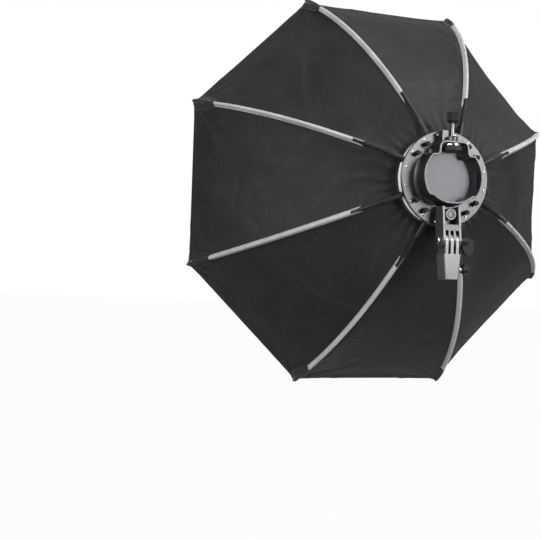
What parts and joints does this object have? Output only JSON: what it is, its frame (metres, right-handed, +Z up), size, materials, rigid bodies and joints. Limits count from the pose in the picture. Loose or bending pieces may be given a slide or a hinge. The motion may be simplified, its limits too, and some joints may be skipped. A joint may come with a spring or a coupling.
{
  "type": "octabox",
  "caption": "Octagonal quick-open softbox: folding ribs on a clamp hub, black canopy, white diffusers and a tilting stand bracket.",
  "frame": {"origin": "centre of the stand socket's mouth, at its lower face", "axes": "+Z up, the diffuser faces -Y, the hub and collar are on the +Y side, X runs across the box"},
  "size_m": [0.5978, 0.2735, 0.5978],
  "materials": {
    "ring_plastic": "fine spark-eroded texture, dark grey",
    "black_plastic": "satin black moulding",
    "white_plastic": "white moulding",
    "black_rubber": "matt black",
    "bright_steel": "bright plated",
    "black_rod": "black lacquered spring steel",
    "brass": "turned",
    "black_ripstop": "black coated ripstop outside, silver inside",
    "white_diffuser": "translucent white cloth"
  },
  "bodies": {
    "stand_base": {"stand_socket": "black_plastic", "tilt_bolt": "bright_steel"},
    "head": {"mount_ring": "ring_plastic", "side_pad_left": "black_rubber", "side_pad_right": "black_rubber", "hub_drum": "white_plastic", "front_ring": "black_plastic", "tilt_arm": "black_plastic", "arm_screw": "black_plastic", "canopy_gore_1": "black_ripstop", "canopy_gore_2": "black_ripstop", "canopy_gore_3": "black_ripstop", "canopy_gore_4": "black_ripstop", "canopy_gore_5": "black_ripstop", "canopy_gore_6": "black_ripstop", "canopy_gore_7": "black_ripstop", "canopy_gore_8": "black_ripstop"},
    "tilt_clamp": {"tilt_washer": "bright_steel"},
    "tilt_handle": {"tilt_knob": "black_plastic"},
    "spigot_clamp": {"spigot_pad": "brass"},
    "spigot_handle": {"spigot_screw": "bright_steel", "spigot_knob": "black_plastic"},
    "flash_pad": {"pressure_disc": "bright_steel", "pressure_pad": "black_rubber"},
    "flash_screw": {"clamp_screw": "bright_steel", "clamp_knob": "black_plastic"},
    "rib_1": {"rib_socket_1": "black_plastic", "rib_rod_1": "black_rod", "rib_tip_1": "black_plastic"},
    "rib_2": {"rib_socket_2": "black_plastic", "rib_rod_2": "black_rod", "rib_tip_2": "black_plastic"},
    "rib_3": {"rib_socket_3": "black_plastic", "rib_rod_3": "black_rod", "rib_tip_3": "black_plastic"},
    "rib_4": {"rib_socket_4": "black_plastic", "rib_rod_4": "black_rod", "rib_tip_4": "black_plastic"},
    "rib_5": {"rib_socket_5": "black_plastic", "rib_rod_5": "black_rod", "rib_tip_5": "black_plastic"},
    "rib_6": {"rib_socket_6": "black_plastic", "rib_rod_6": "black_rod", "rib_tip_6": "black_plastic"},
    "rib_7": {"rib_socket_7": "black_plastic", "rib_rod_7": "black_rod", "rib_tip_7": "black_plastic"},
    "rib_8": {"rib_socket_8": "black_plastic", "rib_rod_8": "black_rod", "rib_tip_8": "black_plastic"},
    "button_1": {"release_button_1": "black_plastic"},
    "button_2": {"release_button_2": "black_plastic"},
    "button_3": {"release_button_3": "black_plastic"},
    "button_4": {"release_button_4": "black_plastic"},
    "button_5": {"release_button_5": "black_plastic"},
    "button_6": {"release_button_6": "black_plastic"},
    "button_7": {"release_button_7": "black_plastic"},
    "button_8": {"release_button_8": "black_plastic"},
    "front_panel": {"front_diffuser": "white_diffuser"},
    "inner_panel": {"inner_diffuser": "white_diffuser"}
  },
  "joints": [
    {"name": "tilt", "type": "hinge", "parent": "stand_base", "child": "head", "pos_m": [0, 0, 0.052], "axis": [-1, 0, 0], "range_deg": [-35, 90]},
    {"name": "tilt_clamp_slide", "type": "slide", "parent": "stand_base", "child": "tilt_clamp", "axis": [-1, 0, 0], "range_m": [0, 0.0016]},
    {"name": "tilt_knob_turn", "type": "hinge", "parent": "tilt_clamp", "child": "tilt_handle", "pos_m": [-0.015, 0, 0.052], "axis": [-1, 0, 0], "range_deg": [0, 720]},
    {"name": "spigot_clamp_slide", "type": "slide", "parent": "stand_base", "child": "spigot_clamp", "axis": [1, 0, 0], "range_m": [0, 0.003]},
    {"name": "spigot_knob_turn", "type": "hinge", "parent": "spigot_clamp", "child": "spigot_handle", "pos_m": [-0.0115, 0, 0.014], "axis": [1, 0, 0], "range_deg": [0, 1080]},
    {"name": "flash_pad_slide", "type": "slide", "parent": "head", "child": "flash_pad", "axis": [0, 0, -1], "range_m": [0, 0.009]},
    {"name": "flash_knob_turn", "type": "hinge", "parent": "flash_pad", "child": "flash_screw", "pos_m": [0, 0.001, 0.18], "axis": [0, 0, -1], "range_deg": [0, 3240]},
    {"name": "rib_fold_1", "type": "hinge", "parent": "head", "child": "rib_1", "pos_m": [0.05552, -0.0232, 0.159], "axis": [0.3827, 0, -0.9239], "range_deg": [0, 52], "deforming": ["canopy_gore_1", "canopy_gore_2", "canopy_gore_3", "canopy_gore_4", "canopy_gore_5", "canopy_gore_6", "canopy_gore_7", "canopy_gore_8"]},
    {"name": "rib_fold_2", "type": "hinge", "parent": "head", "child": "rib_2", "pos_m": [0.023, -0.0232, 0.19153], "axis": [0.9239, 0, -0.3827], "range_deg": [0, 53]},
    {"name": "rib_fold_3", "type": "hinge", "parent": "head", "child": "rib_3", "pos_m": [-0.023, -0.0232, 0.19153], "axis": [0.9239, 0, 0.3827], "range_deg": [0, 53]},
    {"name": "rib_fold_4", "type": "hinge", "parent": "head", "child": "rib_4", "pos_m": [-0.05552, -0.0232, 0.159], "axis": [0.3827, 0, 0.9239], "range_deg": [0, 53]},
    {"name": "rib_fold_5", "type": "hinge", "parent": "head", "child": "rib_5", "pos_m": [-0.05552, -0.0232, 0.113], "axis": [-0.3827, 0, 0.9239], "range_deg": [0, 53]},
    {"name": "rib_fold_6", "type": "hinge", "parent": "head", "child": "rib_6", "pos_m": [-0.023, -0.0232, 0.08048], "axis": [-0.9239, 0, 0.3827], "range_deg": [0, 53]},
    {"name": "rib_fold_7", "type": "hinge", "parent": "head", "child": "rib_7", "pos_m": [0.023, -0.0232, 0.08048], "axis": [-0.9239, 0, -0.3827], "range_deg": [0, 53]},
    {"name": "rib_fold_8", "type": "hinge", "parent": "head", "child": "rib_8", "pos_m": [0.05552, -0.0232, 0.113], "axis": [-0.3827, 0, -0.9239], "range_deg": [0, 53]},
    {"name": "button_press_1", "type": "slide", "parent": "head", "child": "button_1", "axis": [0, -1, 0], "range_m": [0, 0.0025], "stiffness_N_per_m": 300},
    {"name": "button_press_2", "type": "slide", "parent": "head", "child": "button_2", "axis": [0, -1, 0], "range_m": [0, 0.0025], "stiffness_N_per_m": 300},
    {"name": "button_press_3", "type": "slide", "parent": "head", "child": "button_3", "axis": [0, -1, 0], "range_m": [0, 0.0025], "stiffness_N_per_m": 300},
    {"name": "button_press_4", "type": "slide", "parent": "head", "child": "button_4", "axis": [0, -1, 0], "range_m": [0, 0.0025], "stiffness_N_per_m": 300},
    {"name": "button_press_5", "type": "slide", "parent": "head", "child": "button_5", "axis": [0, -1, 0], "range_m": [0, 0.0025], "stiffness_N_per_m": 300},
    {"name": "button_press_6", "type": "slide", "parent": "head", "child": "button_6", "axis": [0, -1, 0], "range_m": [0, 0.0025], "stiffness_N_per_m": 300},
    {"name": "button_press_7", "type": "slide", "parent": "head", "child": "button_7", "axis": [0, -1, 0], "range_m": [0, 0.0025], "stiffness_N_per_m": 300},
    {"name": "button_press_8", "type": "slide", "parent": "head", "child": "button_8", "axis": [0, -1, 0], "range_m": [0, 0.0025], "stiffness_N_per_m": 300},
    {"name": "front_panel_off", "type": "slide", "parent": "head", "child": "front_panel", "axis": [0, -1, 0], "range_m": [0, 0.265]},
    {"name": "inner_panel_off", "type": "slide", "parent": "head", "child": "inner_panel", "axis": [0, -1, 0], "range_m": [0, 0.37]}
  ],
  "couplings": [
    {"joint": "tilt_knob_turn", "follows": "tilt_clamp_slide", "rad_per_m": 7854},
    {"joint": "spigot_knob_turn", "follows": "spigot_clamp_slide", "rad_per_m": 6283.2},
    {"joint": "flash_knob_turn", "follows": "flash_pad_slide", "rad_per_m": 6283.2},
    {"joint": "rib_fold_2", "follows": "rib_fold_1", "ratio": 1},
    {"joint": "rib_fold_3", "follows": "rib_fold_1", "ratio": 1},
    {"joint": "rib_fold_4", "follows": "rib_fold_1", "ratio": 1},
    {"joint": "rib_fold_5", "follows": "rib_fold_1", "ratio": 1},
    {"joint": "rib_fold_6", "follows": "rib_fold_1", "ratio": 1},
    {"joint": "rib_fold_7", "follows": "rib_fold_1", "ratio": 1},
    {"joint": "rib_fold_8", "follows": "rib_fold_1", "ratio": 1},
    {"joint": "front_panel_off", "follows": "rib_fold_1", "m_per_rad": 0.28648},
    {"joint": "inner_panel_off", "follows": "rib_fold_1", "m_per_rad": 0.40107}
  ]
}
